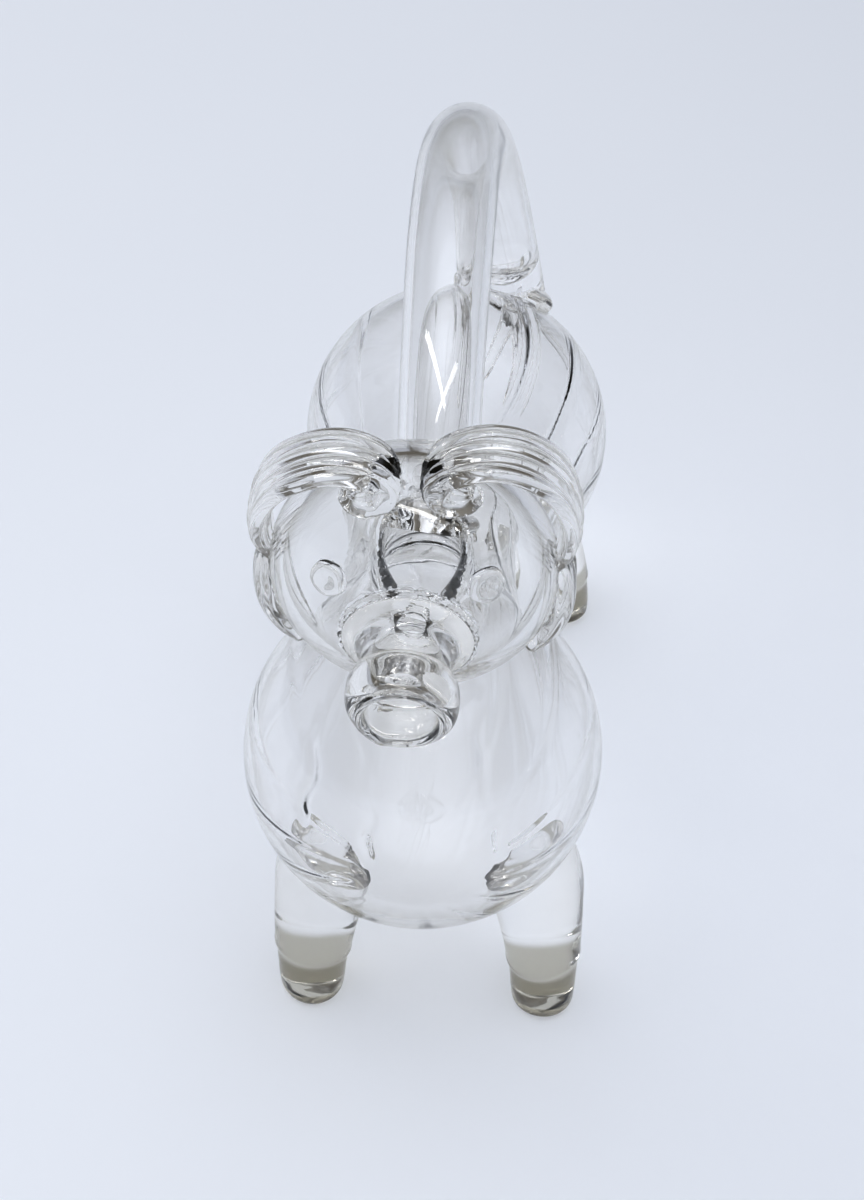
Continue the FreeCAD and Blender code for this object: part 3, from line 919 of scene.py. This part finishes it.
# Legs, as (out, back, up, half width, half depth) from the bulb's middle: a stem that tapers down to a
# ridge, and under it a hoof that draws in to a flat sole.
LEG_ROWS = {
    "front": [
        (26.0, -6.5, -26.0, 14.6, 14.6), (30.0, -8.5, -38.0, 14.2, 14.2), (31.8, -11.0, -48.0, 12.9, 13.0),
        (33.0, -13.5, -57.0, 11.7, 11.9), (33.5, -15.0, -62.6, 11.1, 11.3), (33.6, -15.3, -64.2, 11.1, 11.3),
        (33.7, -15.6, -65.6, 10.5, 10.8), (33.9, -16.4, -70.5, 10.0, 10.3), (34.1, -17.2, -76.5, 9.6, 9.8),
        (34.2, -17.5, -80.2, 9.0, 9.2), (34.2, -17.5, -81.7, 7.8, 8.0),
    ],
    "rear": [
        (25.5, 1.0, -26.0, 14.4, 14.4), (29.4, 1.8, -38.0, 13.4, 13.4), (32.4, 3.0, -48.0, 12.0, 12.2),
        (35.0, 4.6, -57.0, 10.9, 11.0), (36.4, 5.6, -63.4, 10.4, 10.6), (36.6, 5.8, -65.0, 10.4, 10.5),
        (36.8, 6.0, -66.4, 9.9, 10.0), (37.5, 6.6, -71.5, 9.5, 9.6), (38.0, 7.0, -77.0, 9.2, 9.3),
        (38.2, 7.2, -80.2, 8.6, 8.8), (38.2, 7.2, -81.7, 7.2, 7.4),
    ],
}
FRONT_LEGS_SHIFT = 2.4
RIDGE_TILT = 0.16
LEG_FLAT = 0.035
LEG_FLAT_AT = math.radians(300)
SOLE_SHARE = 0.8


def add_leg(name, rows, side, centre, vessel_pieces, seed):
    """A solid stub of glass that tapers to a ridged hoof with a flat sole."""
    rows = np.asarray(rows, float).copy()
    rows[:, 0] *= side
    rows[:, :3] += centre
    rows = smooth_rows(rows, LEG_GRID[0])
    a = np.linspace(0, 2 * math.pi, LEG_GRID[1], endpoint=False)
    rings = []
    for i, row in enumerate(rows):
        level = i / (len(rows) - 1)
        warp = 1 + 0.022 * np.sin(2 * a + seed + 3 * level) + 0.016 * np.sin(3 * a - seed + 6 * level)
        warp = warp - LEG_FLAT * np.exp(-(((a - LEG_FLAT_AT) / 0.5) ** 2)) * math.sin(math.pi * level)
        ring = np.zeros((len(a), 3))
        ring[:, 0] = row[0] + row[3] * np.cos(a) * warp
        ring[:, 1] = row[1] + row[4] * np.sin(a) * warp
        tilt = RIDGE_TILT * math.sin(math.pi * level) ** 2
        ring[:, 2] = row[2] + side * tilt * (ring[:, 0] - row[0])
        rings.append(ring)
    sole = rings[-1].copy()
    middle = sole.mean(0)
    rings.append(middle + (sole - middle) * SOLE_SHARE + np.array((0, 0, -AXIS_HEIGHT - middle[2])))
    rings, _ = seated(rings, body_outside)
    mesh = ring_mesh(rings)
    applied(f"{name}_glass", *mesh, "thick_glass", name, body_outside, [vessel_pieces["body"]], LEG)


RUMP = np.array((0, BODY_SPAN, 0))
PAD_POLAR, PAD_BEARING = 50.0, 27.0

# A drip, as (degrees from the rump's top to its tip, degrees round from the rear, radius). DRIP_SHAPE
# says how many times the radius it is at each share of the way from the pad to the tip.
DRIPS = {
    "tail": (114.0, 22.0, 4.0),
    "left_drip": (80.0, 54.0, 3.2),
    "right_drip": (104.0, 6.0, 3.2),
}
DRIP_SHAPE = (
    (0.0, 1.5), (0.12, 1.4), (0.3, 1.05), (0.5, 0.82), (0.7, 0.76), (0.88, 0.8), (0.96, 0.62), (1.0, 0.2),
)
DRIP_FLATNESS = 0.85


def rump_point(polar, bearing, radius=BULB_R):
    tilt, turn = math.radians(polar), math.radians(bearing)
    across = radius * math.sin(tilt)
    return RUMP + np.array((across * math.sin(turn), across * math.cos(turn), radius * math.cos(tilt)))


def round_section(row, around, share):
    a = np.linspace(0, 2 * math.pi, around, endpoint=False)
    return row[0] * np.cos(a), row[1] * np.sin(a)


def add_drip(name, vessel_pieces):
    """A drip drawn out over the rump, thick at its root, thin in the middle and round at its tip."""
    tip_polar, tip_bearing, radius = DRIPS[name]
    rows = []
    for share, size in DRIP_SHAPE:
        place = rump_point(PAD_POLAR + (tip_polar - PAD_POLAR) * share,
                           PAD_BEARING + (tip_bearing - PAD_BEARING) * share)
        rows.append((*place, radius * size, radius * size * DRIP_FLATNESS))
    root = rump_point(PAD_POLAR, PAD_BEARING)
    across = unit(np.cross(unit(rump_point(tip_polar, tip_bearing) - root), unit(root - RUMP)))
    mesh = swept(rows, *DRIP_GRID, round_section, across)
    applied(f"{name}_glass", *mesh, "thick_glass", name, body_outside, [vessel_pieces["body"]])


# A pad, as (middle, facing, radius, half thickness, share of the radius that its lobes swell by).
FRONT_PAD_AT = 156
FRONT_PAD_FACING = unit(arch_point(FRONT_PAD_AT - 1) - arch_point(FRONT_PAD_AT + 1))
FRONT_PAD = (arch_point(FRONT_PAD_AT), FRONT_PAD_FACING, 13.0, 5.4, 0.02)
REAR_PAD_MIDDLE = rump_point(44, 27)
REAR_PAD = (REAR_PAD_MIDDLE, unit(REAR_PAD_MIDDLE - RUMP), 15.0, 6.0, 0.07)


def pad_field(p, middle, normal, radius, half, lobes):
    """A pressed ball with soft lobes round its edge."""
    u = unit(np.cross(normal, SIDE))
    v = np.cross(normal, u)
    q = p - middle
    a, b, up = q @ u, q @ v, q @ normal
    turn = np.arctan2(b, a)
    wide = radius * (1 + lobes * np.cos(3 * turn + 0.5) + 0.4 * lobes * np.cos(7 * turn))
    return (np.sqrt((a**2 + b**2) / wide**2 + (up / half) ** 2) - 1) * half


def add_pad(name, node, shape, vessel_pieces):
    """A pressed, lobed blob of glass where the handle is stuck on."""
    middle, normal, radius, half, _ = shape
    u = unit(np.cross(normal, SIDE))
    v = np.cross(normal, u)
    a = np.linspace(0, 2 * math.pi, PAD_GRID[1], endpoint=False)
    rings = []
    for share in np.linspace(0.02, 0.98, PAD_GRID[0]):
        turn = share * math.pi
        r = radius * math.sin(turn)
        ring = middle + normal * (half * math.cos(turn))
        rings.append(ring + (r * np.cos(a))[:, None] * u + (r * np.sin(a))[:, None] * v)
    vertices, faces = ring_mesh(rings)
    vertices = onto(lambda q: pad_field(q, *shape), vertices, 6)
    neighbours = [vessel_pieces["body"], vessel_pieces["head"]]
    return applied(name, vertices, faces, "thick_glass", node, outside, neighbours)


def handle_seat(p):
    """The skin that the handle's ends stand on."""
    return np.minimum(outside(p), np.minimum(pad_field(p, *FRONT_PAD), pad_field(p, *REAR_PAD)))


def add_pieces():
    """Every piece of glass, each fused to the neighbours that were made before it."""
    vessel_pieces = add_vessel()
    for name in HORNS:
        add_horn(name, vessel_pieces)
    for word, side in (("left", 1), ("right", -1)):
        add_ear(f"{word}_ear", side, vessel_pieces)
        add_eye(f"{word}_eye", side, vessel_pieces)
        for end, centre, seed in (("front", FRONT_LEGS_SHIFT * SIDE, 1.0), ("rear", RUMP, 2.5)):
            add_leg(f"{end}_{word}_leg", LEG_ROWS[end], side, centre, vessel_pieces, seed + side)
    add_collar(vessel_pieces)
    pads = [
        add_pad("handle_front_pad_glass", "handle_front_pad", FRONT_PAD, vessel_pieces),
        add_pad("handle_rear_pad_glass", "handle_rear_pad", REAR_PAD, vessel_pieces),
    ]
    add_handle(handle_seat, [vessel_pieces["body"], vessel_pieces["head"], *pads])
    for name in DRIPS:
        add_drip(name, vessel_pieces)
    for item in bpy.context.scene.objects:
        if item.name.endswith("_glass"):
            crisp_edges(item)


# ---------------------------------------------------------------- stage and light

FLOOR_HALF = 4.0
FLOOR_GAP = 0.0002


def add_stage():
    mesh = bpy.data.meshes.new("floor")
    corners = [(x * FLOOR_HALF, y * FLOOR_HALF, 0) for x, y in ((-1, -1), (1, -1), (1, 1), (-1, 1))]
    mesh.from_pydata(corners, [], [(0, 1, 2, 3)])
    floor = bpy.data.objects.new("floor", mesh)
    floor.location.z = -FLOOR_GAP
    bpy.context.scene.collection.objects.link(floor)
    floor.data.materials.append(floor_material())


def area_light(name, at, aim, width, height, power, colour, mirrored=True):
    data = bpy.data.lights.new(name, "AREA")
    data.shape = "RECTANGLE"
    data.size, data.size_y = width, height
    data.energy = power
    data.color = colour
    light = bpy.data.objects.new(name, data)
    light.location = at
    light.rotation_euler = (Vector(aim) - Vector(at)).to_track_quat("-Z", "Y").to_euler()
    light.visible_glossy = mirrored
    light.visible_transmission = mirrored
    bpy.context.scene.collection.objects.link(light)


# The surroundings' colour by the upward share of the direction looked in.
WORLD_STRENGTH = 0.82
WORLD_BANDS = [
    (0.00, (0.50, 0.53, 0.60)),
    (0.07, (0.50, 0.53, 0.60)),
    (0.15, (0.12, 0.108, 0.088)),
    (0.45, (0.12, 0.108, 0.090)),
    (0.66, (0.22, 0.205, 0.175)),
    (0.84, (1.15, 1.20, 1.32)),
    (1.00, (1.85, 1.94, 2.14)),
]


def add_world():
    """A pale low wall, a dim warm room over it and a soft white ceiling, by the height looked at alone."""
    world = bpy.data.worlds.new("studio")
    bpy.context.scene.world = world
    world.use_nodes = True
    nodes, links = world.node_tree.nodes, world.node_tree.links
    place = nodes.new("ShaderNodeTexCoord")
    split = nodes.new("ShaderNodeSeparateXYZ")
    ramp = ramp_node(nodes, WORLD_BANDS)
    links.new(place.outputs["Generated"], split.inputs["Vector"])
    links.new(split.outputs["Z"], ramp.inputs["Fac"])
    links.new(ramp.outputs["Color"], nodes["Background"].inputs["Color"])
    nodes["Background"].inputs["Strength"].default_value = WORLD_STRENGTH


# A light, as (place, aim, width, height, power, colour).
WINDOW = ((-1.7, 1.1, 1.9), (0, 0, 0.1), 1.8, 1.3, 20, (1.0, 0.985, 0.96))
STRIP = ((-0.25, -0.5, 1.0), (0, -0.03, 0.17), 1.3, 0.055, 3.0, (1.0, 0.99, 0.97))
BOUNCES_IN_GLASS, MIRROR_BOUNCES = 32, 12


def add_light():
    """The surroundings, a broad window light, and a thin strip that shows as streaks in the glass."""
    add_world()
    area_light("window", *WINDOW, mirrored=False)
    area_light("strip", *STRIP)
    scene = bpy.context.scene
    scene.view_settings.view_transform = "Standard"
    scene.cycles.max_bounces = BOUNCES_IN_GLASS
    scene.cycles.transmission_bounces = BOUNCES_IN_GLASS
    scene.cycles.transparent_max_bounces = BOUNCES_IN_GLASS
    scene.cycles.glossy_bounces = MIRROR_BOUNCES


add_camera()
add_stage()
add_light()
add_pieces()
